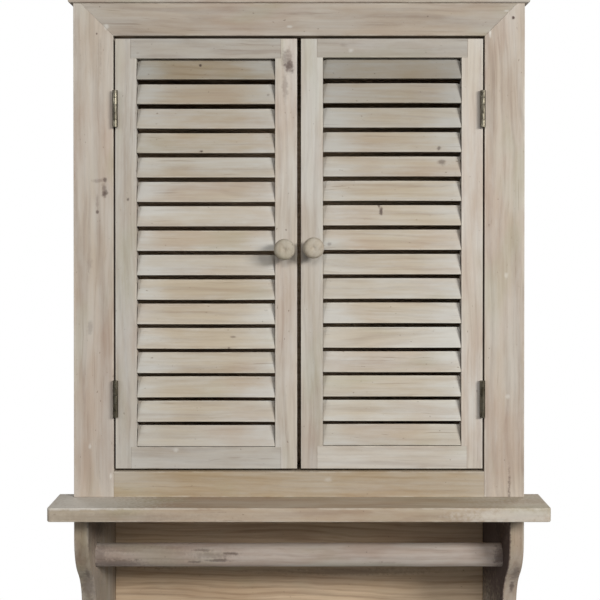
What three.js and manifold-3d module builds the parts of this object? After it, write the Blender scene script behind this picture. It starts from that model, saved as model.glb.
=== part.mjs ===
// A hanging wall cabinet in limed pine: a face-framed box with two inset louvred doors, a ledge
// under it, and below the ledge a round towel rail between two shaped brackets.
//
// Millimetres. X runs along the wall to the viewer's right, Y into the wall and Z up. The origin is
// on the wall plane, midway along the cabinet, level with the top of the ledge.
import * as THREE from "three";
import { mergeVertices } from "three/addons/utils/BufferGeometryUtils.js";
import Module from "manifold-3d";

const wasm = await Module();
wasm.setup();

// ---- driving dimensions ------------------------------------------------------------------------

const WALL = 0;
const FRONT = -160; // front plane of the face frame and of the closed doors
const HALF_WIDTH = 232; // outer faces of the side panels and of the face frame
const BOARD = 15; // side panels
const BACK = 5; // back panel
const BOTTOM = -175; // lower ends of the side panels and the back panel
const CLEARANCE = 0.3; // round a piece that is housed in another

const FRAME_THICK = 14;
const OPENING_HALF = 191; // doorway of the face frame
const OPENING_LOW = 26.5;
const OPENING_HIGH = 475;
const FRAME_TOP = 508.5;

const CAP_THICK = 20;
const CAP_ENDS = 5; // how far it overhangs at both sides,
const CAP_FRONT = 2.5; // and in front
const CAP_ROUND = 2;

const LEDGE_THICK = 14;
const LEDGE_HALF = 250;
const LEDGE_FRONT = FRONT - 43;
const LEDGE_CORNER = 4;

const RAIL_RADIUS = 12.5;
const RAIL_BEHIND_FRONT = 46;
const RAIL_HEIGHT = -73.5;
const RAIL_HOUSING = 6; // depth of the blind holes that hold its ends

const BRACKET_STRAIGHT_TO = -44; // the bracket's front edge is straight down to here,
const BRACKET_OGEE_TO = -127; // then sweeps back in an S,
const BRACKET_SET_BACK = 38; // by this much,
const BRACKET_TOE = 30; // and ends in a round toe

const DOOR_THICK = 15;
const DOOR_INNER = 2; // edges of a door, measured from the middle of the cabinet
const DOOR_OUTER = 189;
const DOOR_LOW = 29.5;
const DOOR_HIGH = 472;
const LOUVRE_INNER = 24.5; // louvred field of a door
const LOUVRE_OUTER = 167.2;
const LOUVRE_LOW = 51.9;
const LOUVRE_HIGH = 451.7;
const LOUVRE_LIFT = { left: 0, right: 1 }; // the two doors' fields are a little out of line
const RAIL_LAP = 6; // the door's rails lap over the stiles by this much

const SLATS = 16;
const SLAT_THICK = 5.5;
const SLAT_RISE = 21; // height of a slat's sloping face
const SLAT_SET_BACK = 6; // how far its top edge leans back
const SLAT_TENON = 4; // how far a slat's tenons reach into the stiles
const SLAT_SHOULDER = 4; // a tenon is narrower than its slat by this much at both edges
const SLAT_GAP_LOW = 0.6; // under the lowest slat and over the highest one
const SLAT_GAP_HIGH = 0.5;

const HINGE_HEIGHT = 38;
const HINGE_FROM_END = 72.3; // centre of a hinge to the end of the door
const HINGE_LEAF = 0.8;
const HINGE_LEAF_DEEP = 13;
const HINGE_KNUCKLES = 5; // every other one belongs to the frame's leaf
const KNUCKLE_RADIUS = 2.8;
const KNUCKLE_BORE = 1.35;
const PIN_RADIUS = 1.2;
const PIN_X = 188.5;
const PIN_Y = FRONT - KNUCKLE_RADIUS - CLEARANCE;

const KNOB_X = 14.8;
const KNOB_Z = { left: 255.6, right: 257.2 };
// Radius and height above the door of each turn of the knob, from its foot to the dimple in its face.
const KNOB_PROFILE = [
  [0, 0],
  [5.6, 0],
  [4.7, 2.5],
  [4.8, 7],
  [7.4, 9.2],
  [10.1, 11.6],
  [10.75, 14.5],
  [10.7, 19.2],
  [9.6, 22],
  [6.8, 23.6],
  [2.4, 24],
  [0, 23.2],
];

const ROUND_SIDES = 24;
const KNUCKLE_SIDES = 12;
const ARC_STEPS = 6; // segments in a stretch of curved outline

// Planes that follow from the dimensions above.
const INSIDE_HALF = HALF_WIDTH - BOARD;
const BEHIND_FRAME = FRONT + FRAME_THICK;
const BACK_FRONT = WALL - BACK;
const RAIL_Y = FRONT + RAIL_BEHIND_FRONT;
const SLAT_SLOPE = Math.hypot(SLAT_SET_BACK, SLAT_RISE);
const SLAT_UP = [SLAT_SET_BACK / SLAT_SLOPE, SLAT_RISE / SLAT_SLOPE]; // up a slat, in (y, z)
const STOCK = 1; // by how much a cutting solid runs past what it cuts

const finish = (color, roughness, metalness = 0) =>
  new THREE.MeshStandardMaterial({ color, roughness, metalness });
const FRAME_WOOD = finish(0xb3a695, 0.8);
const DOOR_WOOD = finish(0xb9b1a4, 0.8);
const SLAT_WOOD = finish(0xb5ab9c, 0.8);
const LEDGE_WOOD = finish(0xaca08c, 0.8);
const RAIL_WOOD = finish(0xa89c8f, 0.75);
const BACK_WOOD = finish(0x94846f, 0.85);
const KNOB_WOOD = finish(0xb0a491, 0.7);
const ANTIQUE_BRASS = finish(0x6e5f3c, 0.45, 0.9);

// ---- solids ------------------------------------------------------------------------------------

const X = new THREE.Vector3(1, 0, 0);
const Y = new THREE.Vector3(0, 1, 0);
const Z = new THREE.Vector3(0, 0, 1);

// An outline drawn out from low to high along an axis. The outline is a THREE.Shape, or a list of
// corners, in (y, z) for axis x, in (x, z) for axis y and in (x, y) for axis z.
function prism(axis, outline, low, high) {
  const shape = Array.isArray(outline)
    ? new THREE.Shape(outline.map(([a, b]) => new THREE.Vector2(a, b)))
    : outline;
  const geometry = new THREE.ExtrudeGeometry(shape, {
    depth: high - low,
    bevelEnabled: false,
    curveSegments: ARC_STEPS,
  });
  const turn = new THREE.Matrix4();
  if (axis === "x") turn.makeBasis(Y, Z, X).setPosition(low, 0, 0);
  // Along y the extrusion runs backwards, which keeps the turn a rotation.
  if (axis === "y") turn.makeBasis(X, Z, Y.clone().negate()).setPosition(0, high, 0);
  if (axis === "z") turn.setPosition(0, 0, low);
  return geometry.applyMatrix4(turn);
}

const rectangle = (a0, a1, b0, b1) => [
  [a0, b0],
  [a1, b0],
  [a1, b1],
  [a0, b1],
];

const block = ([x0, x1], [y0, y1], [z0, z1]) =>
  prism("z", rectangle(Math.min(x0, x1), Math.max(x0, x1), y0, y1), z0, z1);

// A round bar standing along Z.
function post(radius, x, y, low, high, sides = KNUCKLE_SIDES) {
  return new THREE.CylinderGeometry(radius, radius, high - low, sides)
    .rotateX(Math.PI / 2)
    .translate(x, y, (low + high) / 2);
}

// A round bar lying along X, centred on the cabinet.
function roundRail(radius, halfLength, y, z) {
  return new THREE.CylinderGeometry(radius, radius, 2 * halfLength, ROUND_SIDES)
    .rotateZ(Math.PI / 2)
    .translate(0, y, z);
}

function toSolid(geometry) {
  const bare = new THREE.BufferGeometry();
  bare.setAttribute("position", geometry.getAttribute("position"));
  if (geometry.index) bare.setIndex(geometry.index);
  const merged = mergeVertices(bare, 1e-4);
  return new wasm.Manifold(
    new wasm.Mesh({
      numProp: 3,
      vertProperties: merged.attributes.position.array,
      triVerts: new Uint32Array(merged.index.array),
    }),
  );
}

function toGeometry(solid) {
  const { vertProperties, triVerts } = solid.getMesh();
  return new THREE.BufferGeometry()
    .setAttribute("position", new THREE.BufferAttribute(vertProperties, 3))
    .setIndex(new THREE.BufferAttribute(triVerts, 1));
}

const cut = (geometry, ...tools) =>
  toGeometry(tools.reduce((left, tool) => left.subtract(toSolid(tool)), toSolid(geometry)));

const join = (geometry, ...others) =>
  toGeometry(others.reduce((sum, other) => sum.add(toSolid(other)), toSolid(geometry)));

const common = (a, b) => toGeometry(toSolid(a).intersect(toSolid(b)));

function piece(name, geometry, material) {
  const mesh = new THREE.Mesh(geometry, material);
  mesh.name = name;
  return mesh;
}

// ---- carcass -----------------------------------------------------------------------------------

const SIDES = [
  ["left", -1],
  ["right", 1],
];

// The cap's eased edges run along the front and both ends, and are mitred at the corners.
function topCap() {
  const low = FRAME_TOP;
  const high = FRAME_TOP + CAP_THICK;
  const front = FRONT - CAP_FRONT;
  const end = HALF_WIDTH + CAP_ENDS;
  const r = CAP_ROUND;
  const depthways = new THREE.Shape()
    .moveTo(WALL, low)
    .lineTo(WALL, high)
    .lineTo(front + r, high)
    .absarc(front + r, high - r, r, Math.PI / 2, Math.PI)
    .absarc(front + r, low + r, r, Math.PI, 1.5 * Math.PI);
  const lengthways = new THREE.Shape()
    .absarc(end - r, low + r, r, 1.5 * Math.PI, 2 * Math.PI)
    .absarc(end - r, high - r, r, 0, Math.PI / 2)
    .absarc(r - end, high - r, r, Math.PI / 2, Math.PI)
    .absarc(r - end, low + r, r, Math.PI, 1.5 * Math.PI);
  const slab = prism("x", depthways, -end, end);
  return piece("top_cap", common(slab, prism("y", lengthways, front, WALL)), FRAME_WOOD);
}

// The top rail is mitred to the stiles at 45 degrees; the bottom rail is butted between them.
function faceFrame() {
  const mitre = OPENING_HALF + FRAME_TOP - OPENING_HIGH;
  const member = (name, outline) =>
    piece(name, prism("y", outline, FRONT, BEHIND_FRAME), FRAME_WOOD);
  const topRail = [
    [-OPENING_HALF, OPENING_HIGH],
    [OPENING_HALF, OPENING_HIGH],
    [mitre, FRAME_TOP],
    [-mitre, FRAME_TOP],
  ];
  const stile = (side) => [
    [side * OPENING_HALF, 0],
    [side * HALF_WIDTH, 0],
    [side * HALF_WIDTH, FRAME_TOP],
    [side * mitre, FRAME_TOP],
    [side * OPENING_HALF, OPENING_HIGH],
  ];
  return [
    member("face_top_rail", topRail),
    ...SIDES.map(([name, side]) => member(`face_${name}_stile`, stile(side))),
    member("face_bottom_rail", rectangle(-OPENING_HALF, OPENING_HALF, 0, OPENING_LOW)),
  ];
}

// A side panel stands behind the face frame and the ledge, comes forward under the ledge, and its
// front edge then sweeps back in an S of two equal arcs and ends in a round toe.
function sidePanelOutline() {
  const drop = BRACKET_STRAIGHT_TO - BRACKET_OGEE_TO;
  const swing = 2 * Math.atan(BRACKET_SET_BACK / drop);
  const radius = drop / (2 * Math.sin(swing));
  const back = FRONT + BRACKET_SET_BACK;
  return new THREE.Shape()
    .moveTo(WALL, FRAME_TOP)
    .lineTo(BEHIND_FRAME, FRAME_TOP)
    .lineTo(BEHIND_FRAME, -LEDGE_THICK)
    .lineTo(FRONT, -LEDGE_THICK)
    .absarc(FRONT + radius, BRACKET_STRAIGHT_TO, radius, Math.PI, Math.PI + swing)
    .absarc(back - radius, BRACKET_OGEE_TO, radius, swing, 0, true)
    .absarc(back + BRACKET_TOE, BOTTOM + BRACKET_TOE, BRACKET_TOE, Math.PI, 1.5 * Math.PI)
    .lineTo(WALL, BOTTOM);
}

function sidePanels() {
  const socket = roundRail(
    RAIL_RADIUS + CLEARANCE,
    INSIDE_HALF + RAIL_HOUSING + CLEARANCE,
    RAIL_Y,
    RAIL_HEIGHT,
  );
  return SIDES.map(([name, side]) => {
    const faces = [side * INSIDE_HALF, side * HALF_WIDTH];
    const board = prism("x", sidePanelOutline(), Math.min(...faces), Math.max(...faces));
    return piece(`${name}_side_panel`, cut(board, socket), FRAME_WOOD);
  });
}

const backPanel = () =>
  piece(
    "back_panel",
    block([-INSIDE_HALF, INSIDE_HALF], [BACK_FRONT, WALL], [BOTTOM, FRAME_TOP]),
    BACK_WOOD,
  );

// Ledge and cabinet floor are one board, notched round the side panels.
function ledgeShelf() {
  const r = LEDGE_CORNER;
  const outline = new THREE.Shape()
    .absarc(LEDGE_HALF - r, LEDGE_FRONT + r, r, 1.5 * Math.PI, 2 * Math.PI)
    .lineTo(LEDGE_HALF, BEHIND_FRAME)
    .lineTo(INSIDE_HALF, BEHIND_FRAME)
    .lineTo(INSIDE_HALF, BACK_FRONT)
    .lineTo(-INSIDE_HALF, BACK_FRONT)
    .lineTo(-INSIDE_HALF, BEHIND_FRAME)
    .lineTo(-LEDGE_HALF, BEHIND_FRAME)
    .absarc(r - LEDGE_HALF, LEDGE_FRONT + r, r, Math.PI, 1.5 * Math.PI);
  return piece("ledge_shelf", prism("z", outline, -LEDGE_THICK, 0), LEDGE_WOOD);
}

const towelRail = () =>
  piece(
    "towel_rail",
    roundRail(RAIL_RADIUS, INSIDE_HALF + RAIL_HOUSING, RAIL_Y, RAIL_HEIGHT),
    RAIL_WOOD,
  );

// ---- hinges ------------------------------------------------------------------------------------

// Heights of the knuckles that belong to one leaf: first is 0 for the frame's leaf, 1 for the door's.
function knuckleSpans(centre, first) {
  const pitch = HINGE_HEIGHT / HINGE_KNUCKLES;
  const base = centre - HINGE_HEIGHT / 2;
  const spans = [];
  for (let k = first; k < HINGE_KNUCKLES; k += 2)
    spans.push([base + k * pitch + CLEARANCE / 2, base + (k + 1) * pitch - CLEARANCE / 2]);
  return spans;
}

// A leaf is a thin plate in the gap between door and frame, with a tab forward to each knuckle.
function hingeLeaf(side, x0, x1, centre, spans) {
  const ends = [centre - HINGE_HEIGHT / 2, centre + HINGE_HEIGHT / 2];
  const faces = [side * x0, side * x1];
  const plate = block(faces, [FRONT, FRONT + HINGE_LEAF_DEEP], ends);
  const knuckles = spans.flatMap((span) => [
    block(faces, [PIN_Y, FRONT + STOCK], span),
    post(KNUCKLE_RADIUS, side * PIN_X, PIN_Y, ...span),
  ]);
  return join(plate, ...knuckles);
}

// The pin is staked into the frame's leaf and turns in the knuckles of the door's leaf.
function frameLeaf(name, side, centre) {
  const x0 = OPENING_HALF - HINGE_LEAF;
  const leaf = hingeLeaf(side, x0, OPENING_HALF, centre, knuckleSpans(centre, 0));
  const [low, high] = [centre - HINGE_HEIGHT / 2, centre + HINGE_HEIGHT / 2];
  const pin = post(PIN_RADIUS, side * PIN_X, PIN_Y, low + CLEARANCE, high - CLEARANCE);
  return piece(name, join(leaf, pin), ANTIQUE_BRASS);
}

function doorLeaf(name, side, centre) {
  const x1 = DOOR_OUTER + HINGE_LEAF;
  const leaf = hingeLeaf(side, DOOR_OUTER, x1, centre, knuckleSpans(centre, 1));
  const [low, high] = [centre - HINGE_HEIGHT, centre + HINGE_HEIGHT];
  const bore = post(KNUCKLE_BORE, side * PIN_X, PIN_Y, low, high);
  return piece(name, cut(leaf, bore), ANTIQUE_BRASS);
}

const HINGES = [
  ["upper", DOOR_HIGH - HINGE_FROM_END],
  ["lower", DOOR_LOW + HINGE_FROM_END],
];

// ---- doors -------------------------------------------------------------------------------------

// Section of a slat in (y, z). Its front face leans back from a lower front edge that is flush with
// the door's face at height low, and its underside is level.
function slatSection(low) {
  const [top, high] = [FRONT + SLAT_SET_BACK, low + SLAT_RISE];
  return [
    [FRONT, low],
    [top, high],
    [top + SLAT_THICK * SLAT_UP[1], high - SLAT_THICK * SLAT_UP[0]],
    [FRONT + SLAT_THICK / SLAT_UP[1], low],
  ];
}

// Section of the tenon at each end of that slat, larger all round by grow for its mortise.
function tenonSection(low, grow = 0) {
  const from = SLAT_SHOULDER - grow;
  const to = SLAT_SLOPE - SLAT_SHOULDER + grow;
  const corner = (along, through) => [
    FRONT + along * SLAT_UP[0] + through * SLAT_UP[1],
    low + along * SLAT_UP[1] - through * SLAT_UP[0],
  ];
  return [
    corner(from, -grow),
    corner(to, -grow),
    corner(to, SLAT_THICK + grow),
    corner(from, SLAT_THICK + grow),
  ];
}

// Height of the lower front edge of each slat of a door, from the top one down.
function slatHeights(lift) {
  const highest = LOUVRE_HIGH + lift - SLAT_GAP_HIGH - SLAT_RISE;
  const lowest = LOUVRE_LOW + lift + SLAT_GAP_LOW;
  const pitch = (highest - lowest) / (SLATS - 1);
  return Array.from({ length: SLATS }, (_, i) => highest - i * pitch);
}

// A prism across the door between two distances from the middle of the cabinet.
function acrossDoor(side, section, from, to) {
  return prism("x", section, Math.min(side * from, side * to), Math.max(side * from, side * to));
}

// A door's stile: its narrow ends lie beside the rails, and between the rails it is wider, with a
// mortise for each slat. The edge next to the slats is at field, the outer edge of the stile at
// outer, and inward is +1 where the slats lie at larger distances from the middle.
function doorStile(name, side, lift, outer, field, inward) {
  const lap = side * (field - inward * RAIL_LAP);
  const inner = side * field;
  const edge = side * outer;
  const [low, high] = [LOUVRE_LOW + lift, LOUVRE_HIGH + lift];
  const board = prism(
    "y",
    [
      [edge, DOOR_LOW],
      [lap, DOOR_LOW],
      [lap, low],
      [inner, low],
      [inner, high],
      [lap, high],
      [lap, DOOR_HIGH],
      [edge, DOOR_HIGH],
    ],
    FRONT,
    FRONT + DOOR_THICK,
  );
  const deep = field - inward * (SLAT_TENON + CLEARANCE);
  const open = field + inward * STOCK;
  const mortises = slatHeights(lift).map((height) =>
    acrossDoor(side, tenonSection(height, CLEARANCE), deep, open),
  );
  return piece(name, cut(board, ...mortises), DOOR_WOOD);
}

function doorRails(name, side, lift) {
  const ends = [LOUVRE_INNER - RAIL_LAP, LOUVRE_OUTER + RAIL_LAP];
  const rail = (place, low, high) => {
    const section = rectangle(FRONT, FRONT + DOOR_THICK, low, high);
    return piece(`${name}_${place}_rail`, acrossDoor(side, section, ...ends), DOOR_WOOD);
  };
  return [
    rail("top", LOUVRE_HIGH + lift, DOOR_HIGH),
    rail("bottom", DOOR_LOW, LOUVRE_LOW + lift),
  ];
}

// A slat fits between the stiles, and its tenons reach into them.
function slat(name, side, low) {
  const shoulders = [LOUVRE_INNER + CLEARANCE, LOUVRE_OUTER - CLEARANCE];
  const ends = [LOUVRE_INNER - SLAT_TENON, LOUVRE_OUTER + SLAT_TENON];
  const board = acrossDoor(side, slatSection(low), ...shoulders);
  const tenons = acrossDoor(side, tenonSection(low), ...ends);
  return piece(name, join(board, tenons), SLAT_WOOD);
}

function knob(name, side, height) {
  const profile = KNOB_PROFILE.map(([radius, height]) => new THREE.Vector2(radius, height));
  const turned = new THREE.LatheGeometry(profile, ROUND_SIDES)
    .rotateX(Math.PI)
    .translate(side * KNOB_X, FRONT, height);
  return piece(name, turned, KNOB_WOOD);
}

function door([sideName, side]) {
  const name = `${sideName}_door`;
  const group = new THREE.Group();
  group.name = name;
  const lift = LOUVRE_LIFT[sideName];
  const slats = slatHeights(lift).map((low, i) =>
    slat(`${name}_slat_${String(i + 1).padStart(2, "0")}`, side, low),
  );
  group.add(
    doorStile(`${name}_lock_stile`, side, lift, DOOR_INNER, LOUVRE_INNER, 1),
    doorStile(`${name}_hinge_stile`, side, lift, DOOR_OUTER, LOUVRE_OUTER, -1),
    ...doorRails(name, side, lift),
    ...slats,
    knob(`${name}_knob`, side, KNOB_Z[sideName]),
    ...HINGES.map(([place, centre]) => doorLeaf(`${name}_${place}_hinge_leaf`, side, centre)),
  );
  return group;
}

// ---- assembly ----------------------------------------------------------------------------------

const carcass = new THREE.Group();
carcass.name = "carcass";
carcass.add(
  topCap(),
  ...faceFrame(),
  ...sidePanels(),
  backPanel(),
  ledgeShelf(),
  towelRail(),
  ...SIDES.flatMap(([name, side]) =>
    HINGES.map(([place, centre]) => frameLeaf(`${name}_${place}_frame_leaf`, side, centre)),
  ),
);

const cabinet = new THREE.Group();
cabinet.name = "hanging_wall_cabinet";
cabinet.add(carcass, ...SIDES.map(door));

export default cabinet;
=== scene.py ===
"""The looks of a hanging wall cabinet in limed pine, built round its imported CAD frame.

Metres, in the row's own frame: X along the wall, Y into the wall, Z up, the origin on the wall level
with the top of the ledge. Boards and hinge leaves are refined from their CAD solids. Slats, knobs
and the towel rail are modelled afresh in the space that their solids hold. Catches and hangers have
no CAD solids.
"""

import math
import random

import bmesh
import bpy
from mathutils import Matrix, Vector, noise


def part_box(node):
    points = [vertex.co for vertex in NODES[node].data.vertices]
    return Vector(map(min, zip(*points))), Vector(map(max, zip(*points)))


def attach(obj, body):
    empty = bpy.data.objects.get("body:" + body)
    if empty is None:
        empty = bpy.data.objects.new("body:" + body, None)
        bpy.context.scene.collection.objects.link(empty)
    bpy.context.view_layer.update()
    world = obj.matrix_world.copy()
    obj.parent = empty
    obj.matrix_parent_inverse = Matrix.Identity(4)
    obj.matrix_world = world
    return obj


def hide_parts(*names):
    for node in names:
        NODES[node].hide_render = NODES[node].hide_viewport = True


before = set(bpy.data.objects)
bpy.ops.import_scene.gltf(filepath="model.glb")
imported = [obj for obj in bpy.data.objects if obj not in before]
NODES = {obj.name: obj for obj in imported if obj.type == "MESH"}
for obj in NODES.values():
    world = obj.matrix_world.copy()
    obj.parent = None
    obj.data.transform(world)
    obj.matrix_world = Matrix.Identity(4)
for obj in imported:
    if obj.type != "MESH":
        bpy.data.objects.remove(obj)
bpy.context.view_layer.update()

MM = 0.001
X_AXIS, Y_AXIS, Z_AXIS = Vector((1, 0, 0)), Vector((0, 1, 0)), Vector((0, 0, 1))

# ---- camera, lights and floor --------------------------------------------------------------------

CAMERA_BACK = 1.0683  # in front of the doors
CAMERA_SIDE = 0.001
CAMERA_HEIGHT = 0.2737  # above the ledge
CAMERA_DOWN = math.radians(0.46)
CAMERA_LENS = 62.31
CAMERA_SHIFT = -0.10
FLOOR_DROP = 1.2  # below the ledge
FLOOR_SIZE = 2.6
AIM = Vector((0, -0.1, 0.16))


def make_camera():
    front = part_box("face_top_rail")[0].y
    data = bpy.data.cameras.new("camera")
    data.lens = CAMERA_LENS
    data.sensor_width = 36
    data.shift_y = CAMERA_SHIFT
    camera = bpy.data.objects.new("camera", data)
    camera.location = (CAMERA_SIDE, front - CAMERA_BACK, CAMERA_HEIGHT)
    camera.rotation_euler = (math.pi / 2 - CAMERA_DOWN, 0, 0)
    bpy.context.collection.objects.link(camera)
    bpy.context.scene.camera = camera


def soft_box(name, azimuth, elevation, distance, width, height, power, colour):
    """An area light that faces AIM: azimuth 0 is straight in front, and right is positive."""
    a, e = math.radians(azimuth), math.radians(elevation)
    way = Vector((math.sin(a) * math.cos(e), -math.cos(a) * math.cos(e), math.sin(e)))
    data = bpy.data.lights.new(name, "AREA")
    data.shape = "RECTANGLE"
    data.size = width
    data.size_y = height
    data.energy = power
    data.color = colour
    light = bpy.data.objects.new(name, data)
    light.location = AIM + way * distance
    light.rotation_euler = way.to_track_quat("Z", "Y").to_euler()
    bpy.context.collection.objects.link(light)


def make_lights():
    """The three front lights throw the ledge's shadow to one height on the back panel."""
    soft_box("key_right", 40, 16.7, 3.2, 1.2, 0.5, 80, (1.0, 0.985, 0.96))
    soft_box("key_left", -48, 13.9, 3.2, 1.2, 0.5, 18, (0.985, 0.99, 1.0))
    soft_box("fill_front", 4, 23.6, 3.2, 1.2, 0.5, 31, (1.0, 1.0, 1.0))
    soft_box("back_right", 140, 24, 3.2, 1.2, 1.2, 34, (1.0, 0.985, 0.96))
    soft_box("back_left", -140, 24, 3.2, 1.2, 1.2, 26, (0.985, 0.99, 1.0))


def make_world():
    """White to the camera, dim to everything else, so that the ledge's underside stays in shadow."""
    world = bpy.data.worlds.new("studio")
    bpy.context.scene.world = world
    world.use_nodes = True
    tree = world.node_tree
    tree.nodes.clear()
    path = tree.nodes.new("ShaderNodeLightPath")
    seen = tree.nodes.new("ShaderNodeBackground")
    seen.inputs["Color"].default_value = (1, 1, 1, 1)
    ambient = tree.nodes.new("ShaderNodeBackground")
    ambient.inputs["Color"].default_value = (0.96, 0.98, 1.0, 1)
    ambient.inputs["Strength"].default_value = 0.09
    mix = tree.nodes.new("ShaderNodeMixShader")
    out = tree.nodes.new("ShaderNodeOutputWorld")
    tree.links.new(path.outputs["Is Camera Ray"], mix.inputs[0])
    tree.links.new(ambient.outputs[0], mix.inputs[1])
    tree.links.new(seen.outputs[0], mix.inputs[2])
    tree.links.new(mix.outputs[0], out.inputs[0])
    bpy.context.scene.view_settings.view_transform = "Standard"


def make_floor():
    half = FLOOR_SIZE / 2
    mesh = bpy.data.meshes.new("floor")
    corners = [(-half, -half, 0), (half, -half, 0), (half, half, 0), (-half, half, 0)]
    mesh.from_pydata(corners, [], [(0, 1, 2, 3)])
    floor = bpy.data.objects.new("floor", mesh)
    floor.location = (0, 0, -FLOOR_DROP)
    bpy.context.collection.objects.link(floor)
    material = bpy.data.materials.new("floor")
    material.use_nodes = True
    shader = material.node_tree.nodes["Principled BSDF"]
    shader.inputs["Base Color"].default_value = (0.82, 0.82, 0.81, 1)
    shader.inputs["Roughness"].default_value = 0.9
    mesh.materials.append(material)


# ---- a small helper for node trees ---------------------------------------------------------------


def linear(red, green, blue):
    """A display colour of 0 to 255 a channel as the linear colour that shaders take."""

    def one(value):
        value /= 255
        return value / 12.92 if value <= 0.04045 else ((value + 0.055) / 1.055) ** 2.4

    return (one(red), one(green), one(blue), 1.0)


class Graph:
    """Adds nodes to a tree. An input is a socket, which is linked, or a value, which is set."""

    def __init__(self, tree):
        self.tree = tree

    def feed(self, socket, value):
        if isinstance(value, bpy.types.NodeSocket):
            self.tree.links.new(value, socket)
        else:
            socket.default_value = value

    def add(self, kind, inputs=None, **settings):
        node = self.tree.nodes.new("ShaderNode" + kind)
        for key, value in settings.items():
            setattr(node, key, value)
        for key, value in (inputs or {}).items():
            self.feed(node.inputs[key], value)
        return node

    def math(self, operation, *values, clamp=False):
        node = self.add("Math", operation=operation, use_clamp=clamp)
        for socket, value in zip(node.inputs, values):
            self.feed(socket, value)
        return node.outputs[0]

    def vector(self, operation, *values):
        node = self.add("VectorMath", operation=operation)
        for socket, value in zip(node.inputs, values):
            self.feed(socket, value)
        return node.outputs["Value" if operation in ("LENGTH", "DOT_PRODUCT") else "Vector"]

    def split(self, vector):
        return self.add("SeparateXYZ", {0: vector}).outputs

    def merge(self, x, y, z):
        return self.add("CombineXYZ", {0: x, 1: y, 2: z}).outputs[0]

    def noise(self, vector, scale, detail=2.0, roughness=0.5):
        """Noise whose cells are one over scale long along each axis."""
        stretched = self.vector("MULTIPLY", vector, scale)
        inputs = {"Vector": stretched, "Scale": 1.0, "Detail": detail, "Roughness": roughness}
        return self.add("TexNoise", inputs).outputs["Fac"]

    def ramp(self, value, low, high, to_low=0.0, to_high=1.0):
        """A smooth step of value from low to high."""
        inputs = {0: value, 1: low, 2: high, 3: to_low, 4: to_high}
        return self.add("MapRange", inputs, interpolation_type="SMOOTHSTEP").outputs[0]

    def mix(self, factor, first, second, blend="MIX"):
        node = self.add("Mix", data_type="RGBA", blend_type=blend)
        self.feed(node.inputs["Factor"], factor)
        self.feed(node.inputs[6], first)
        self.feed(node.inputs[7], second)
        return node.outputs[2]

    def attribute(self, name):
        return self.add("Attribute", attribute_name=name).outputs["Vector"]


# ---- limed pine ----------------------------------------------------------------------------------

# Every board carries its own coordinates: x along the grain, y across it and z through the board,
# measured from its middle, with its half size, a random offset and three tints: tone, warmth, liming.
RING_WIDTH = 7.2 * MM
RING_SHIFT = 12 * MM  # moves the rings through the board
RING_LEAN = 0.035  # their slope to the grain
KNOT_PUSH = 6 * MM  # how far the grain is pushed aside at a knot
GROUP_INPUTS = (
    ("Pale Wood", "NodeSocketColor", linear(168, 146, 118)),
    ("Dark Wood", "NodeSocketColor", linear(128, 102, 78)),
    ("Lime", "NodeSocketColor", linear(200, 196, 188)),
    ("Liming", "NodeSocketFloat", 0.55),
    ("Sanded Middle", "NodeSocketFloat", 0.0),
    ("Knot And Shade", "NodeSocketFloat", 0.0),
    ("Fleck", "NodeSocketFloat", 0.0),
)


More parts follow.
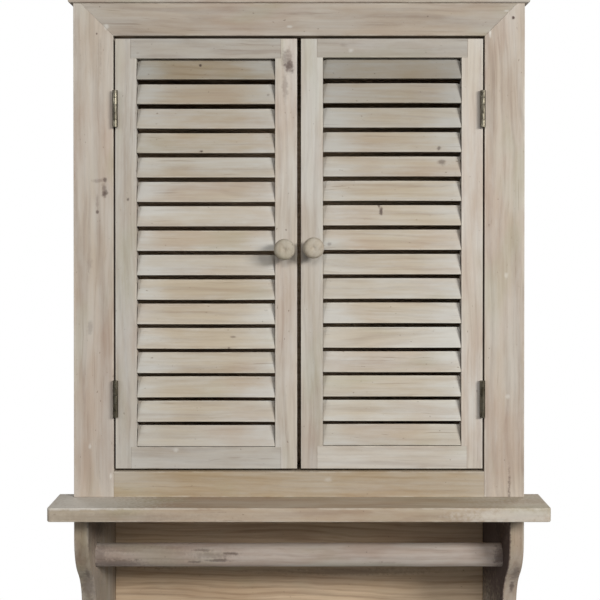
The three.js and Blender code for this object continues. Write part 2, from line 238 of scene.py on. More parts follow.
def limed_pine_group():
    group = bpy.data.node_groups.new("limed_pine", "ShaderNodeTree")
    for name, kind, value in GROUP_INPUTS:
        group.interface.new_socket(name, in_out="INPUT", socket_type=kind).default_value = value
    for name, kind in (
        ("Color", "NodeSocketColor"),
        ("Roughness", "NodeSocketFloat"),
        ("Height", "NodeSocketFloat"),
    ):
        group.interface.new_socket(name, in_out="OUTPUT", socket_type=kind)
    g = Graph(group)
    given = group.nodes.new("NodeGroupInput").outputs
    out = group.nodes.new("NodeGroupOutput").inputs

    at = g.attribute("board_at")
    half = g.attribute("board_half")
    tint = g.split(g.attribute("board_tint"))
    place = g.vector("ADD", at, g.attribute("board_seed"))

    # The grain sways a little, and bulges round a knot.
    sway = g.math("SUBTRACT", g.noise(place, (5, 20, 20)), 0.5)
    ripple = g.math("SUBTRACT", g.noise(place, (28, 60, 60)), 0.5)
    push = g.math("ADD", g.math("MULTIPLY", sway, 0.022), g.math("MULTIPLY", ripple, 0.0028))
    push = g.math("ADD", push, g.math("MULTIPLY", given["Knot And Shade"], KNOT_PUSH))
    grain = g.vector("ADD", place, g.merge(0.0, push, g.math("MULTIPLY", push, 0.6)))

    # Growth rings. The board's offset puts their axis far away, so they are almost flat layers,
    # whose slant differs from board to board.
    run = g.split(grain)
    lean = g.math("MULTIPLY", run[0], RING_LEAN)
    from_axis = g.merge(0.0, g.math("ADD", run[1], lean), g.math("ADD", run[2], RING_SHIFT))
    ring_radius = g.vector("LENGTH", from_axis)
    ring = g.math("SINE", g.math("MULTIPLY", ring_radius, 2 * math.pi / RING_WIDTH))
    late = g.ramp(ring, 0.1, 1.0)
    broad = g.noise(grain, (3, 85, 85), 3.0, 0.55)
    streak = g.noise(grain, (7, 330, 330), 3.0, 0.6)
    fibre = g.noise(grain, (30, 1500, 1500), 2.0, 0.5)
    drift = g.noise(place, (7, 13, 13), 2.0)

    wood_mix = g.math("MULTIPLY", late, 0.30)
    wood_mix = g.math("ADD", wood_mix, g.ramp(broad, 0.38, 0.68, 0.0, 0.45))
    wood_mix = g.math("ADD", wood_mix, g.ramp(streak, 0.42, 0.75, 0.0, 0.45), clamp=True)
    wood = g.mix(wood_mix, given["Pale Wood"], given["Dark Wood"])
    pink = g.mix(0.45, wood, linear(158, 124, 106))
    wood = g.mix(g.ramp(drift, 0.45, 0.62, 0.0, 0.5), wood, pink)
    green = g.noise(place, (9, 24, 24), 2.0)
    wood = g.mix(g.ramp(green, 0.55, 0.7, 0.0, 0.35), wood, linear(150, 148, 120))
    # The warmth tint yellows a board; on the top slats part of it belongs to their painted shade.
    wood = g.mix(g.math("MULTIPLY", tint[1], 0.6), wood, linear(170, 146, 104))

    # Lime lies thicker in patches, along the edges and at the ends, and is sanded off the middle.
    patch = g.noise(place, (11, 42, 42), 5.0, 0.6)
    brush = g.noise(place, (16, 420, 420), 2.0, 0.5)
    cover = g.ramp(patch, 0.32, 0.70, 0.25, 1.0)
    cover = g.math("MULTIPLY", cover, g.ramp(brush, 0.2, 0.8, 0.8, 1.12))
    inset = g.vector("SUBTRACT", half, g.vector("ABSOLUTE", at))
    along, across, through = g.split(inset)
    end = g.ramp(along, 0.0, 0.035, 1.0, 0.0)
    middle = g.math("MULTIPLY", given["Sanded Middle"], g.ramp(along, 0.012, 0.05))
    cover = g.math("ADD", cover, g.math("MULTIPLY", end, 0.18))
    sanded = g.math("MULTIPLY", middle, g.ramp(patch, 0.3, 0.6, 0.5, 1.0))
    cover = g.math("SUBTRACT", cover, sanded)
    thicker = g.math("MULTIPLY", g.math("SUBTRACT", tint[2], 0.5), 0.8)
    cover = g.math("ADD", cover, thicker, clamp=True)
    cover = g.math("MULTIPLY", cover, given["Liming"])
    colour = g.mix(cover, wood, given["Lime"])

    # The long arrises are rubbed pale in places, and filler leaves pale flecks.
    edge_gap = g.math("MAXIMUM", across, through)
    chips = g.noise(place, (34, 130, 130), 5.0, 0.65)
    edge = g.math("MULTIPLY", g.ramp(edge_gap, 0.0003, 0.0024, 1.0, 0.0), g.ramp(chips, 0.42, 0.66))
    colour = g.mix(g.math("MULTIPLY", edge, 0.5), colour, linear(200, 194, 180))
    colour = g.mix(g.math("MULTIPLY", given["Fleck"], 0.75), colour, linear(206, 203, 196))

    # End grain is darker, specks darker still, and the marks darkest: knot marks, and on some boards
    # painted shadow and shade.
    end_grain = g.ramp(along, 0.0002, 0.0008, 1.0, 0.0)
    colour = g.mix(g.math("MULTIPLY", end_grain, 0.45), colour, given["Dark Wood"])
    specks = g.ramp(g.noise(place, (260, 420, 420), 1.0), 0.74, 0.82)
    colour = g.mix(g.math("MULTIPLY", specks, 0.55), colour, linear(92, 76, 60))
    lines = g.ramp(g.noise(grain, (9, 620, 620), 1.0), 0.68, 0.80)
    colour = g.mix(g.math("MULTIPLY", lines, 0.4), colour, linear(108, 90, 74))
    colour = g.mix(g.ramp(given["Knot And Shade"], 0.0, 0.95), colour, linear(74, 58, 53))
    # The tone tint scales a board's colour; on the top rails, the top slats and the sides it is
    # painted shade.
    tone = g.math("ADD", 1.0, g.math("MULTIPLY", tint[0], 0.2))
    colour = g.vector("MULTIPLY", colour, g.merge(tone, tone, tone))
    g.feed(out["Color"], colour)

    rough = g.math("ADD", 0.62, g.math("MULTIPLY", patch, 0.22))
    g.feed(out["Roughness"], rough)
    height = g.math("ADD", g.math("MULTIPLY", fibre, 0.5), g.math("MULTIPLY", streak, 0.8))
    height = g.math("SUBTRACT", height, g.math("MULTIPLY", late, 0.25))
    height = g.math("ADD", height, g.math("MULTIPLY", brush, 0.35))
    height = g.math("SUBTRACT", height, g.math("MULTIPLY", specks, 0.8))
    g.feed(out["Height"], height)
    return group


LIMED_PINE = limed_pine_group()


SPOT_SOLID, SPOT_END = 0.2, 1.4  # a mark fades out between these parts of its half size
SPOT_RAGGED = 1.6  # how ragged its outline is


def spots(g, marks):
    """How strongly a point is marked; a mark is (x, z, half width, half height, strength), in mm."""
    at = g.add("TexCoord").outputs["Object"]
    place = g.split(at)
    wobble = g.math("SUBTRACT", g.noise(at, (260, 260, 260), 3.0, 0.6), 0.5)
    field = 0.0
    for x, z, wide, high, strength in marks:
        across = g.math("DIVIDE", g.math("SUBTRACT", place[0], x * MM), wide * MM)
        up = g.math("DIVIDE", g.math("SUBTRACT", place[2], z * MM), high * MM)
        far = g.vector("LENGTH", g.merge(across, up, 0.0))
        far = g.math("ADD", far, g.math("MULTIPLY", wobble, SPOT_RAGGED))
        field = g.math("MAXIMUM", field, g.ramp(far, SPOT_SOLID, SPOT_END, strength, 0.0))
    return field


def limed_pine(name, pale, dark, lime, liming, sanded=0.0, knots_and_shade=(), flecks=()):
    material = bpy.data.materials.new(name)
    material.use_nodes = True
    g = Graph(material.node_tree)
    shader = material.node_tree.nodes["Principled BSDF"]
    wood = g.add("Group", node_tree=LIMED_PINE)
    wood.inputs["Pale Wood"].default_value = linear(*pale)
    wood.inputs["Dark Wood"].default_value = linear(*dark)
    wood.inputs["Lime"].default_value = linear(*lime)
    wood.inputs["Liming"].default_value = liming
    wood.inputs["Sanded Middle"].default_value = sanded
    # Some of the marks given here are painted shade rather than knots: shadows and dark corners on the
    # back, the sides and the rail.
    if knots_and_shade:
        g.feed(wood.inputs["Knot And Shade"], spots(g, knots_and_shade))
    if flecks:
        g.feed(wood.inputs["Fleck"], spots(g, flecks))
    relief = g.add("Bump", {"Strength": 0.5, "Distance": 0.35 * MM, "Height": wood.outputs["Height"]})
    g.feed(shader.inputs["Base Color"], wood.outputs["Color"])
    g.feed(shader.inputs["Roughness"], wood.outputs["Roughness"])
    g.feed(shader.inputs["Normal"], relief.outputs["Normal"])
    shader.inputs["Specular IOR Level"].default_value = 0.25
    return material


FRAME_LOOK = dict(pale=(172, 157, 140), dark=(138, 120, 104), lime=(190, 188, 182), liming=0.5)
DOOR_LOOK = dict(pale=(176, 165, 150), dark=(148, 133, 118), lime=(193, 193, 189), liming=0.6)
SLAT_LOOK = dict(pale=(178, 166, 147), dark=(152, 137, 119), lime=(190, 190, 186), liming=0.75)
LEDGE_LOOK = dict(pale=(164, 146, 120), dark=(130, 110, 88), lime=(190, 184, 172), liming=0.45)
RAIL_LOOK = dict(pale=(174, 155, 140), dark=(136, 113, 96), lime=(198, 194, 188), liming=0.55)
BACK_LOOK = dict(pale=(188, 162, 132), dark=(132, 102, 72), lime=(196, 182, 162), liming=0.32)
KNOB_LOOK = dict(pale=(170, 158, 138), dark=(142, 126, 106), lime=(188, 186, 176), liming=0.5)

FRAME_KNOTS_AND_SHADE = (
    (-207.8, 477, 1.0, 1.3, 0.7),
    (-204.7, 452, 1.9, 26, 0.22),
    (-199.8, 327, 3.0, 3.0, 0.62),
    (-206.0, 326, 8.0, 2.2, 0.34),
    (-200.6, 319, 3.2, 6.0, 0.48),
    (-199.6, 313, 4.0, 4.4, 0.72),
    (-207.3, 303, 2.0, 10.0, 0.34),
    (-207.4, 294, 1.8, 2.2, 0.62),
    (-215.6, 240, 3.4, 12.0, 0.30),
    (-215.3, 175, 4.0, 9.0, 0.30),
    # The next five marks are painted shade: darker patches on the front edges of the sides below the
    # ledge, where they stand as brackets.
    (-226.0, -60, 9.0, 20.0, 0.30),
    (-225.0, -104, 9.0, 26.0, 0.42),
    (-222.0, -86, 3.0, 10.0, 0.50),
    (227.0, -84, 5.5, 16.0, 0.46),
    (226.0, -104, 3.0, 9.0, 0.60),
    (220.0, 493.4, 1.6, 1.8, 0.85),
    # The last two marks are painted shade too: a long dark strip down the inner edge of each side
    # below the ledge, darker on the right.
    (216.6, -75.0, 2.2, 95.0, 0.85),
    (-216.6, -34.0, 2.2, 34.0, 0.50),
)
FRAME_FLECKS = (
    (-198.0, 484.5, 2.6, 3.2, 0.9),
    (-9.4, 484.3, 3.0, 1.4, 0.7),
    (196.2, 477.6, 1.5, 3.8, 0.95),
    (213.0, 500.5, 2.6, 1.1, 0.7),
    (-215.3, 53.0, 1.4, 3.0, 0.6),
    (-194.0, 21.5, 1.2, 3.0, 0.8),
    (213.0, 229.0, 2.0, 3.0, 0.5),
    (215.0, 104.0, 2.6, 2.4, 0.5),
    (30.0, 18.0, 5.0, 2.2, 0.45),
)
DOOR_KNOTS = (
    (-12.4, 451.0, 7.4, 13.0, 0.46),
    (-10.6, 443.6, 6.6, 8.5, 0.70),
    (-14.4, 422.0, 3.6, 17.0, 0.36),
    (-13.4, 275.6, 1.0, 1.0, 0.60),
    (-175.9, 307.0, 1.7, 1.9, 0.60),
    (46.0, 466.0, 4.0, 3.0, 0.26),
    (62.0, 155.0, 1.4, 9.0, 0.15),
)
DOOR_FLECKS = (
    (-126.6, 48.8, 3.0, 2.2, 0.7),
    (53.2, 460.0, 2.6, 2.6, 0.9),
    (9.0, 249.0, 5.0, 9.0, 0.5),
)
SLAT_KNOTS = (
    (-102.0, 445.3, 1.9, 1.7, 0.80),
    (-100.4, 356.2, 2.4, 1.6, 0.80),
    (-32.0, 414.4, 2.2, 1.8, 0.45),
    (-67.5, 164.9, 4.2, 1.3, 0.45),
    (-72.4, 154.0, 1.8, 1.0, 0.60),
    (144.0, 359.5, 2.6, 2.8, 0.56),
    (147.5, 345.5, 5.0, 4.0, 0.50),
    (82.6, 301.5, 1.8, 4.6, 0.62),
    (84.6, 294.8, 2.2, 5.0, 0.70),
    (31.0, 261.0, 3.0, 2.6, 0.40),
)
LEDGE_FLECKS = ((-215, 1, 75, 3.0, 0.9), (216, -8, 60, 9.0, 0.62))
LEDGE_KNOTS = ((-180, -9, 110, 6.0, 0.26),)
RAIL_KNOTS_AND_SHADE = (
    (-96.0, -71.0, 32.0, 5.0, 0.36),
    (-86.0, -76.0, 17.0, 2.4, 0.56),
    (-72.0, -69.0, 12.0, 1.8, 0.60),
    (-104.0, -66.0, 14.0, 1.8, 0.50),
    (-112.0, -78.0, 12.0, 2.0, 0.50),
    # The next four marks are painted shade: the shadows of the sides over both ends of the rail, and a
    # light darkening of its left half.
    (-196.0, -80.0, 44.0, 9.0, 0.50),
    (-212.0, -73.0, 12.0, 14.0, 0.46),
    (-150.0, -72.0, 90.0, 14.0, 0.26),
    (214.0, -73.0, 9.0, 14.0, 0.62),
    (92.0, -79.0, 22.0, 1.8, 0.24),
)
BACK_KNOTS_AND_SHADE = (
    (-96.0, -46.0, 34.0, 9.0, 0.42),
    (-162.0, -118.0, 46.0, 8.0, 0.42),
    (-70.0, -40.0, 24.0, 6.0, 0.40),
    # Painted shade from here on: a thin band of the rail's shadow below it, a broad band of the
    # ledge's shadow under the ledge, a deeper patch of that shadow above the rail on the left, and the
    # dark corner beside the right side.
    (60.0, -128.0, 120.0, 5.0, 0.36),
    (0.0, -20.0, 300.0, 26.0, 0.34),
    (-100.0, -36.0, 130.0, 22.0, 0.60),
    (202.0, -40.0, 26.0, 26.0, 0.85),
)

WOODS = {
    "frame": limed_pine("frame_wood", **FRAME_LOOK, knots_and_shade=FRAME_KNOTS_AND_SHADE, flecks=FRAME_FLECKS),
    "door": limed_pine("door_wood", **DOOR_LOOK, knots_and_shade=DOOR_KNOTS, flecks=DOOR_FLECKS),
    "slat": limed_pine("slat_wood", **SLAT_LOOK, sanded=0.3, knots_and_shade=SLAT_KNOTS),
    "ledge": limed_pine("ledge_wood", **LEDGE_LOOK, knots_and_shade=LEDGE_KNOTS, flecks=LEDGE_FLECKS),
    "rail": limed_pine("rail_wood", **RAIL_LOOK, knots_and_shade=RAIL_KNOTS_AND_SHADE),
    "back": limed_pine("back_wood", **BACK_LOOK, knots_and_shade=BACK_KNOTS_AND_SHADE),
    "knob": limed_pine("knob_wood", **KNOB_LOOK),
}


def antique_brass():
    material = bpy.data.materials.new("antique_brass")
    material.use_nodes = True
    g = Graph(material.node_tree)
    shader = material.node_tree.nodes["Principled BSDF"]
    place = g.add("TexCoord").outputs["Object"]
    stain = g.noise(place, (300, 300, 120), 4.0, 0.6)
    scratch = g.noise(place, (2200, 2200, 200), 2.0)
    colour = g.mix(g.ramp(stain, 0.35, 0.65), linear(70, 64, 50), linear(116, 110, 94))
    relief = g.add("Bump", {"Strength": 0.3, "Distance": 0.1 * MM, "Height": scratch})
    g.feed(shader.inputs["Base Color"], colour)
    g.feed(shader.inputs["Roughness"], g.ramp(stain, 0.3, 0.7, 0.50, 0.36))
    g.feed(shader.inputs["Normal"], relief.outputs["Normal"])
    shader.inputs["Metallic"].default_value = 0.9
    shader.inputs["Coat Weight"].default_value = 0.35
    shader.inputs["Coat Roughness"].default_value = 0.25
    return material


BRASS = antique_brass()


def painted_keyhole_shade():
    """Painted shade: a near-black sheet that stands in for the dark inside of a keyhole."""
    material = bpy.data.materials.new("keyhole_painted_shade")
    material.use_nodes = True
    g = Graph(material.node_tree)
    shader = material.node_tree.nodes["Principled BSDF"]
    mottle = g.noise(g.add("TexCoord").outputs["Object"], (400, 400, 400), 3.0)
    g.feed(shader.inputs["Base Color"], g.mix(mottle, linear(18, 15, 12), linear(46, 40, 32)))
    g.feed(shader.inputs["Roughness"], g.ramp(mottle, 0.3, 0.7, 0.7, 0.9))
    return material


KEYHOLE_PAINTED_SHADE = painted_keyhole_shade()

# ---- meshes --------------------------------------------------------------------------------------

SHARP = math.radians(38)
STAND_OFF = 0.3 * MM  # between the wall and the back edges of the sides, where the hangers are
LYING = dict(grain=X_AXIS, across=Z_AXIS)
STANDING = dict(grain=Z_AXIS, across=X_AXIS)


def tag_board(mesh, grain, across, centre, half, tint, seed):
    """Writes the board's own coordinates, half size, offset and tints on every vertex."""
    through = grain.cross(across)
    turn = Matrix((grain, across, through))
    chance = random.Random(seed)
    offset = Vector([chance.uniform(-40, 40) for _ in range(3)])
    values = {"board_half": half, "board_tint": Vector(tint), "board_seed": offset}
    for name in ("board_at", *values):
        layer = mesh.attributes.new(name, "FLOAT_VECTOR", "POINT")
        for vertex, cell in zip(mesh.vertices, layer.data):
            cell.vector = turn @ (vertex.co - centre) if name == "board_at" else values[name]


def show(name, mesh, material, body, nodes=()):
    """Makes the mesh a piece that rides on a body and stands for its CAD nodes, if it has any."""
    mesh.materials.append(material)
    mesh.shade_smooth()
    mesh.set_sharp_from_angle(angle=SHARP)
    piece = bpy.data.objects.new(name, mesh)
    bpy.context.collection.objects.link(piece)
    piece.modifiers.new("shading", "WEIGHTED_NORMAL").keep_sharp = True
    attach(piece, body)
    if nodes:
        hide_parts(*nodes)


def solid_of(node):
    """A CAD node's solid, with its coplanar triangles dissolved."""
    bm = bmesh.new()
    bm.from_mesh(NODES[node].data)
    bmesh.ops.remove_doubles(bm, verts=bm.verts, dist=1e-6)
    flat = math.radians(0.5)
    bmesh.ops.dissolve_limit(bm, angle_limit=flat, verts=bm.verts, edges=bm.edges)
    return bm


def prism(axis, outline, low, high):
    """A solid drawn out along a unit axis from an outline, of vectors square to that axis."""
    bm = bmesh.new()
    skin(bm, [[bm.verts.new(point + axis * end) for point in outline] for end in (low, high)])
    return bm


def block(low, high, radius):
    """A rectangular solid with eased edges."""
    bm = bmesh.new()
    size, middle = high - low, (low + high) / 2
    bmesh.ops.create_cube(bm, matrix=Matrix.LocRotScale(middle, None, size))
    ease(bm, radius)
    return bm


def turned(foot, axis, profile, sides=48):
    """A solid turned about an axis from its foot: the profile is (radius, distance along the axis)."""
    side = axis.orthogonal().normalized()
    other = axis.cross(side)
    ways = [side * math.cos(t) + other * math.sin(t) for t in circle(sides)]
    bm = bmesh.new()
    rings = [[foot + axis * rise + way * radius for way in ways] for radius, rise in profile]
    skin(bm, [[bm.verts.new(point) for point in ring] for ring in rings])
    return bm


def circle(sides):
    return [2 * math.pi * k / sides for k in range(sides)]


def absorb(bm, other):
    """Adds another solid to this one."""
    mesh = bpy.data.meshes.new("absorbed")
    other.to_mesh(mesh)
    other.free()
    bm.from_mesh(mesh)
    bpy.data.meshes.remove(mesh)


def skin(bm, loops):
    """Joins rings of vertices with quads and closes both ends."""
    count = len(loops[0])
    for first, second in zip(loops, loops[1:]):
        for k in range(count):
            n = (k + 1) % count
            bm.faces.new((first[k], first[n], second[n], second[k]))
    bm.faces.new(list(reversed(loops[0])))
    bm.faces.new(loops[-1])


EASED_OVER = math.radians(50)


def ease(bm, radius, keep=None):
    """Rounds the sharp edges of a solid, apart from those that keep says to leave."""
    edges = [
        e
        for e in bm.edges
        if e.is_manifold and e.calc_face_angle() > EASED_OVER and not (keep and keep(e))
    ]
    bmesh.ops.bevel(
        bm,
        geom=edges,
        offset=radius,
        segments=3,
        profile=0.5,
        affect="EDGES",
        clamp_overlap=True,
    )


def mesh_of(bm, name):
    mesh = bpy.data.meshes.new(name)
    bmesh.ops.recalc_face_normals(bm, faces=bm.faces)
    bm.to_mesh(mesh)
    bm.free()
    return mesh


def board(node, body, wood, grain, across, tint=(0, 0, 0.5), radius=0.8 * MM, keep=None, trim=0.0):
    """A piece refined from a CAD board: its arrises eased, and its grain along one axis."""
    bm = solid_of(node)
    for vertex in bm.verts:
        vertex.co.y = min(vertex.co.y, -trim)
    ease(bm, radius, keep)
    mesh = mesh_of(bm, node)
    low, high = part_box(node)
    size = high - low
    through = grain.cross(across)
    half = Vector([abs(axis.dot(size)) / 2 for axis in (grain, across, through)])
    tag_board(mesh, grain, across, (low + high) / 2, half, tint, node)
    show(node + "_board", mesh, WOODS[wood], body, [node])


# ---- carcass -------------------------------------------------------------------------------------


def make_carcass():
    fine = 0.4 * MM
    board("top_cap", "carcass", "frame", X_AXIS, Y_AXIS, tint=(0, 0, 0.6), radius=0.5 * MM)
    # The top rail's low tone is painted shade, for the dimmer light at the top of the cabinet.
    board("face_top_rail", "carcass", "frame", **LYING, tint=(-0.7, 0.1, 0.4), radius=fine)
    board("face_bottom_rail", "carcass", "frame", **LYING, tint=(-0.4, 0.8, 0.2), radius=fine)
    board("face_left_stile", "carcass", "frame", **STANDING, tint=(0.3, 0, 0.5), radius=fine)
    board("face_right_stile", "carcass", "frame", **STANDING, tint=(0.3, 0, 0.5), radius=fine)
    # Painted shade: both sides are toned darker, the left one most, so that the brackets they form
    # below the ledge look shaded.
    for side, tone in (("left", -1.5), ("right", -0.8)):
        look = dict(tint=(tone, 0.25, 0.2), trim=STAND_OFF)
        board(f"{side}_side_panel", "carcass", "frame", Z_AXIS, Y_AXIS, **look)
    board("back_panel", "carcass", "back", **LYING)
    board("ledge_shelf", "carcass", "ledge", X_AXIS, Y_AXIS, radius=1.2 * MM)


RAIL_DENT = 0.25 * MM
RAIL_RINGS = 90
RAIL_SIDES = 48
RAIL_PAST_ENDS = 0.05  # the ends are hidden in the sides, so no end grain is drawn on them


def make_towel_rail():
    """A dowel that is a little uneven all over."""
    low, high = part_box("towel_rail")
    centre = (low + high) / 2
    radius = (high.z - low.z) / 2
    length = high.x - low.x
    bm = bmesh.new()
    loops = []
    for i in range(RAIL_RINGS + 1):
        x = low.x + length * i / RAIL_RINGS
        loop = []
        for turn in circle(RAIL_SIDES):
            way = Vector((0, math.cos(turn), math.sin(turn)))
            dent = noise.noise(Vector((x * 18, way.y * 1.3, way.z * 1.3))) * RAIL_DENT
            dent -= RAIL_DENT
            loop.append(bm.verts.new(Vector((x, centre.y, centre.z)) + way * (radius + dent)))
        loops.append(loop)
    skin(bm, loops)
    mesh = mesh_of(bm, "towel_rail")
    half = Vector((length / 2 + RAIL_PAST_ENDS, radius, radius))
    tag_board(mesh, X_AXIS, Z_AXIS, centre, half, (-1.0, 0, 0.5), "towel_rail")
    show("towel_rail_dowel", mesh, WOODS["rail"], "carcass", ["towel_rail"])


# ---- doors ---------------------------------------------------------------------------------------

SIDES = (("left", -1), ("right", 1))
# Each board's own tone, but the top rails' low tone is painted shade, for the dimmer light at the top.
DOOR_TONES_AND_SHADE = {
    "left": {"lock_stile": 0.5, "hinge_stile": -0.1, "top_rail": -1.0, "bottom_rail": -0.3},
    "right": {"lock_stile": 0.1, "hinge_stile": 0.6, "top_rail": -1.0, "bottom_rail": 0.5},
}
SLAT_PAINTED_SHADE = {"left": 1.7, "right": 2.2}  # painted shade: how much darker in tone the top slats are made, for the dimmer light at the top
SLAT_ROUND = 0.7 * MM
SLAT_RINGS = 24
SLAT_BOW = 0.25 * MM  # at most, up or down
SLAT_CUP = 0.15 * MM  # at most, in or out
SLAT_PAINTED_SHADE_FADE = 2.4  # slats from the top down to where most of that painted shade is gone
SLAT_TAPER = 4.2 * MM  # a slat's face is shorter by this much at the top, at each end,
SLAT_TAPER_DEEP = 2.4 * MM  # and the chamfer that shortens it is this deep there


def slat_section(node):
    """The four corners of a slat's section, from its lower front arris up, and the x of its ends."""
    low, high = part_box(node)
    vertices = [v.co for v in NODES[node].data.vertices]
    shoulder = sorted({round(co.x, 5) for co in vertices})[1]
    section = [co for co in vertices if abs(co.x - shoulder) < 1e-5]
    points = {(round(co.y, 6), round(co.z, 6)) for co in section}
    front = min(points)
    back = max(points)
    top = max(points, key=lambda p: p[1])
    heel = max((p for p in points if abs(p[1] - front[1]) < 1e-4), key=lambda p: p[0])
    ends = (shoulder, low.x + high.x - shoulder)
    return [Vector((0, *p)) for p in (front, top, back, heel)], ends


def rounded_section(corners, radius, steps=3):
    """The section's outline with each corner replaced by a short curve."""
    outline = []
    for i, corner in enumerate(corners):
        before = (corners[i - 1] - corner).normalized() * radius
        after = (corners[(i + 1) % len(corners)] - corner).normalized() * radius
        for k in range(steps + 1):
            t = k / steps
            outline.append(corner + before * (1 - t) ** 2 + after * t**2)
    return outline


def make_slat(node, body, tint):
    """A slat with eased arrises, a slight bow, and a chamfer at each end that widens upwards."""
    corners, ends = slat_section(node)
    front, top, back, _ = corners
    slope = (top - front).normalized()
    inward = Vector((0, slope.z, -slope.y))
    outline = rounded_section(corners, SLAT_ROUND)
    foot = 2  # the chamfer's inner edge starts here, on the curve of the lower front arris,
    crease = len(outline) // 2  # and ends here, on the top edge, behind the upper front arris
    outline.insert(crease, top + inward * SLAT_TAPER_DEEP)
    rise, thick = (top - front).length, (back - top).length
    chance = random.Random(node)
    bow = chance.uniform(-SLAT_BOW, SLAT_BOW)
    cup = chance.uniform(-SLAT_CUP, SLAT_CUP)
    bm = bmesh.new()
    loops = []
    for i in range(SLAT_RINGS + 1):
        t = i / SLAT_RINGS
        shift = slope * bow * math.sin(math.pi * t) + inward * cup * math.sin(2 * math.pi * t)
        loop = []
        for p in outline:
            up = (p - front).dot(slope) / rise
            deep = (p - front).dot(inward) / SLAT_TAPER_DEEP
            cut = SLAT_TAPER * max(0.0, up - deep)
            x = ends[0] + cut + (ends[1] - ends[0] - 2 * cut) * t
            loop.append(bm.verts.new(Vector((x, 0, 0)) + p + shift))
        loops.append(loop)
    skin(bm, loops)
    for loop in (loops[0], loops[-1]):
        bmesh.ops.connect_verts(bm, verts=[loop[crease], loop[foot]])
    mesh = mesh_of(bm, node)
    centre = (front + back) / 2 + X_AXIS * (ends[0] + ends[1]) / 2
    half = Vector(((ends[1] - ends[0]) / 2, rise / 2, thick / 2))
    tag_board(mesh, X_AXIS, slope, centre, half, tint, node)
    show(node + "_board", mesh, WOODS["slat"], body, [node])


KNOB_PROFILE = (  # parts of the knob's radius and length, from the door outwards
    (0.52, 0.00), (0.47, 0.06), (0.44, 0.16), (0.46, 0.28), (0.62, 0.36), (0.84, 0.44),
    (0.96, 0.54), (1.00, 0.66), (0.985, 0.76), (0.93, 0.86), (0.84, 0.925), (0.70, 0.968),
    (0.50, 0.990), (0.28, 0.985), (0.16, 0.965), (0.08, 0.940), (0.02, 0.93),
)  # fmt: skip


def make_knob(side):
    """A turned knob: a slim neck, a flat-faced head with a rounded rim, and a dimple in the face."""
    node = f"{side}_door_knob"
    low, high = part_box(node)
    centre = (low + high) / 2
    rim = (high.x - low.x) / 2
    length = high.y - low.y
    foot = Vector((centre.x, high.y, centre.z))
    profile = [(radius * rim, rise * length) for radius, rise in KNOB_PROFILE]
    mesh = mesh_of(turned(foot, -Y_AXIS, profile), node)
    half = Vector((length, rim * 2, rim * 2))
    tag_board(mesh, Y_AXIS, Z_AXIS, centre, half, (-0.2, 0.1, 0.5), node)
    show(node + "_turned", mesh, WOODS["knob"], f"{side}_door", [node])


JOINERY_REACH = 8 * MM  # mortises and laps lie within this of the ends of the door's rails,
JOINERY_LONGEST = 100 * MM  # and have no edge as long as this


def make_door(side):
    body = f"{side}_door"
    field = [corner.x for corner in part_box(f"{body}_top_rail")]

    def at_field(edge):
        """The edges of the mortises and of the joints with the rails stay sharp."""
        inner = [min(abs(v.co.x - x) for x in field) < JOINERY_REACH for v in edge.verts]
        return all(inner) and edge.calc_length() < JOINERY_LONGEST

    for part, tone in DOOR_TONES_AND_SHADE[side].items():
        look = dict(tint=(tone, 0, 0.5), radius=0.35 * MM)
        if part.endswith("stile"):
            board(f"{body}_{part}", body, "door", **STANDING, **look, keep=at_field)
        else:
            board(f"{body}_{part}", body, "door", **LYING, **look)
    chance = random.Random(body)
    for i, node in enumerate(sorted(n for n in NODES if n.startswith(f"{body}_slat"))):
        # Painted shade: the top slats are made darker and warmer, fading out downwards, for the dimmer
        # light at the top of the doors.
        shade = math.exp(-i / SLAT_PAINTED_SHADE_FADE)
        tone = chance.uniform(-0.1, 0.3) - SLAT_PAINTED_SHADE[side] * shade
        warmth = chance.uniform(0, 0.3) + 0.4 * shade
        make_slat(node, body, (tone, warmth, chance.uniform(0.4, 0.65)))
    make_knob(side)


# ---- hinges --------------------------------------------------------------------------------------

SCREW_RADIUS = 2.0 * MM
SCREW_HEAD = 0.12 * MM
SCREW_SLOT = 0.5 * MM
SCREW_STEPS = 16  # round half a head
SCREW_SPREAD = 11 * MM  # above and below the middle of a leaf
LEAF_EASE = 0.18 * MM


def screw_head(bm, centre, out):
    """Adds a flat head, in two halves with a slot between, on a face that looks along out."""
    along = Z_AXIS if abs(out.z) < 0.5 else X_AXIS
    across = out.cross(along)
    start = math.asin(SCREW_SLOT / 2 / SCREW_RADIUS)
    sweep = math.pi - 2 * start
    turns = [start + sweep * k / SCREW_STEPS for k in range(SCREW_STEPS + 1)]
    for sign in (1, -1):
        edge = [across * math.cos(t) + along * sign * math.sin(t) for t in turns]
        absorb(bm, prism(out, [centre + way * SCREW_RADIUS for way in edge], 0, SCREW_HEAD))


def make_hinge_leaf(node, body, out, front):
    """A leaf with eased edges, and two screws in its face that looks along out, behind front."""
    bm = solid_of(node)
    low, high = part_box(node)
    ease(bm, LEAF_EASE)
    plate = [v.co for v in NODES[node].data.vertices if v.co.y > high.y - 1e-5]
    face = max(co.x * out.x for co in plate) * out.x
    for sign in (1, -1):
        height = (low.z + high.z) / 2 + sign * SCREW_SPREAD
        screw_head(bm, Vector((face, (high.y + front) / 2, height)), out)
    show(node + "_detailed", mesh_of(bm, node), BRASS, body, [node])


def make_hinges():
    """The frame's leaves look towards the doorway, and the doors' leaves look away from it."""
    for name, side in SIDES:
        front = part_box(f"{name}_door_hinge_stile")[0].y
        inward = X_AXIS * -side
        for place in ("upper", "lower"):
            make_hinge_leaf(f"{name}_{place}_frame_leaf", "carcass", inward, front)
            leaf = f"{name}_door_{place}_hinge_leaf"
            make_hinge_leaf(leaf, f"{name}_door", -inward, front)


# ---- small hardware ------------------------------------------------------------------------------

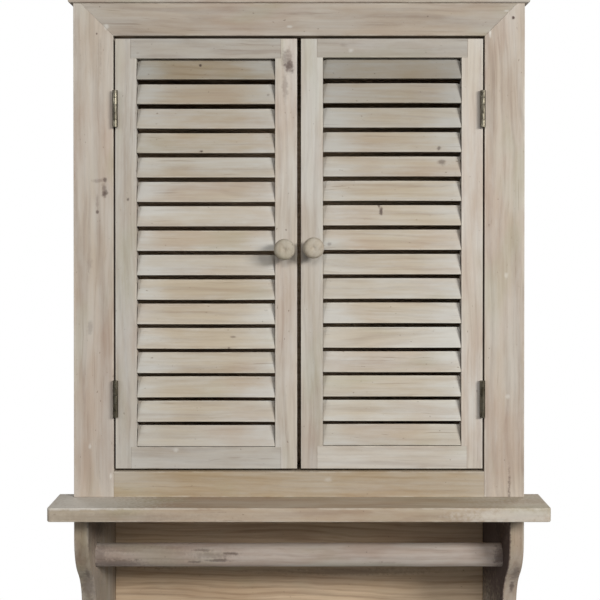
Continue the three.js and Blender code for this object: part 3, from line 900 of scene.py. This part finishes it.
CATCH_FROM_MIDDLE = 42 * MM
CATCH_HALF = 16 * MM  # half its width
CATCH_DEEP = 13 * MM  # from its pole plates to its back
CATCH_TALL = 14 * MM  # it hangs this far below the door's top, and its flange rises this far
CATCH_SHEET = 1.5 * MM  # thickness of its flange and arm
CATCH_SCREWS = 9 * MM  # either side of its middle, and this far up the rail
CATCH_GAP = 0.8 * MM  # between the pole plates and the strike on a closed door
POLE_PROUD = 1.5 * MM
POLE_LONG = 4 * MM
POLE_INSET = 4 * MM  # from each end of the catch
POLE_APART = 3.2 * MM  # from the middle of the catch, up and down
POLE_HALF = 0.6 * MM  # half its thickness
STRIKE_HALF = (10 * MM, 6 * MM)
STRIKE_THICK = 0.8 * MM

HANGER_HEIGHT = 470 * MM
HANGER_HALF = (5.2 * MM, 22 * MM)
HANGER_LET_IN = 2 * MM
HANGER_FACE = 0.15 * MM  # short of the wall
HANGER_SCREWS = 16 * MM  # above and below its middle
KEYHOLE_NECK = 2.0 * MM  # half the width of the slot, which ends in half a circle
KEYHOLE_ROUND = 3.9 * MM  # radius of the round hole
KEYHOLE_LOW = 4 * MM  # the round hole's centre is this far below the hanger's middle,
KEYHOLE_HIGH = 6 * MM  # and the slot's end this far above it
KEYHOLE_DEEP = 1 * MM


def slab(x, half, depths, heights, radius):
    """A block between two depths and two heights, and of half its width either side of x."""
    low = Vector((x - half, depths[0], heights[0]))
    high = Vector((x + half, depths[1], heights[1]))
    return block(low, high, radius)


def make_catch(name, side):
    """A magnetic catch behind the top rail, with two pole plates, and its strike on the door."""
    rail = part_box("face_top_rail")
    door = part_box(f"{name}_door_top_rail")
    x = side * CATCH_FROM_MIDDLE
    strike = door[1].y + STRIKE_THICK
    poles = strike + CATCH_GAP
    back = poles + CATCH_DEEP
    flange = rail[1].y + CATCH_SHEET
    foot = rail[0].z + 0.5 * MM
    low, high = door[1].z - CATCH_TALL, rail[0].z + 1 * MM
    middle = (low + high) / 2
    bm = slab(x, CATCH_HALF, (poles + POLE_PROUD, back), (low, high), 0.8 * MM)
    rise = (foot, rail[0].z + CATCH_TALL)
    absorb(bm, slab(x, CATCH_HALF, (rail[1].y, flange), rise, 0.3 * MM))
    absorb(bm, slab(x, CATCH_HALF, (rail[1].y, back), (foot, foot + CATCH_SHEET), 0.3 * MM))
    for sign in (1, -1):
        pole = middle + sign * POLE_APART
        heights = (pole - POLE_HALF, pole + POLE_HALF)
        depths = (poles, poles + POLE_LONG)
        absorb(bm, slab(x, CATCH_HALF - POLE_INSET, depths, heights, 0.15 * MM))
        screw = Vector((x + sign * CATCH_SCREWS, flange, rail[0].z + CATCH_SCREWS))
        screw_head(bm, screw, Y_AXIS)
    show(f"{name}_catch", mesh_of(bm, f"{name}_catch"), BRASS, "carcass")
    wide, tall = STRIKE_HALF
    bm = slab(x, wide, (door[1].y, strike), (middle - tall, middle + tall), 0.2 * MM)
    screw_head(bm, Vector((x, strike, middle)), Y_AXIS)
    strike_name = f"{name}_door_strike"
    show(strike_name, mesh_of(bm, strike_name), BRASS, f"{name}_door")


def make_hanger(name):
    """A keyhole plate let into the back edge of a side, with a screw above and below."""
    low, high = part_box(f"{name}_side_panel")
    wide, tall = HANGER_HALF
    centre = Vector(((low.x + high.x) / 2, high.y, HANGER_HEIGHT))
    depths = (high.y - HANGER_LET_IN, high.y - HANGER_FACE)
    bm = slab(centre.x, wide, depths, (centre.z - tall, centre.z + tall), 0.12 * MM)
    for sign in (1, -1):
        screw_head(bm, centre + Vector((0, -HANGER_FACE, sign * HANGER_SCREWS)), Y_AXIS)
    show(f"{name}_hanger", mesh_of(bm, f"{name}_hanger"), BRASS, "carcass")
    # The keyhole is no hole but painted shade: a near-black sheet just proud of the plate, shaped as a
    # round hole for the screw's head with a slot above it for its shank.
    neck, hole = KEYHOLE_NECK, KEYHOLE_ROUND
    start = math.acos(neck / hole)
    sweep = math.pi + 2 * start
    turns = [start + (math.pi - 2 * start) + sweep * k / 24 for k in range(25)]
    outline = [Vector((math.cos(t) * hole, 0, math.sin(t) * hole - KEYHOLE_LOW)) for t in turns]
    turns = [math.pi * k / 12 for k in range(13)]
    outline += [Vector((math.cos(t) * neck, 0, math.sin(t) * neck + KEYHOLE_HIGH)) for t in turns]
    bm = prism(Y_AXIS, [centre + point for point in outline], -KEYHOLE_DEEP, -0.1 * MM)
    keyhole = f"{name}_hanger_keyhole"
    show(keyhole, mesh_of(bm, keyhole), KEYHOLE_PAINTED_SHADE, "carcass")


def make_hardware():
    make_hinges()
    for name, side in SIDES:
        make_catch(name, side)
        make_hanger(name)


# ---- the whole -----------------------------------------------------------------------------------

make_camera()
make_lights()
make_world()
make_floor()
make_carcass()
make_towel_rail()
for side_name, _ in SIDES:
    make_door(side_name)
make_hardware()
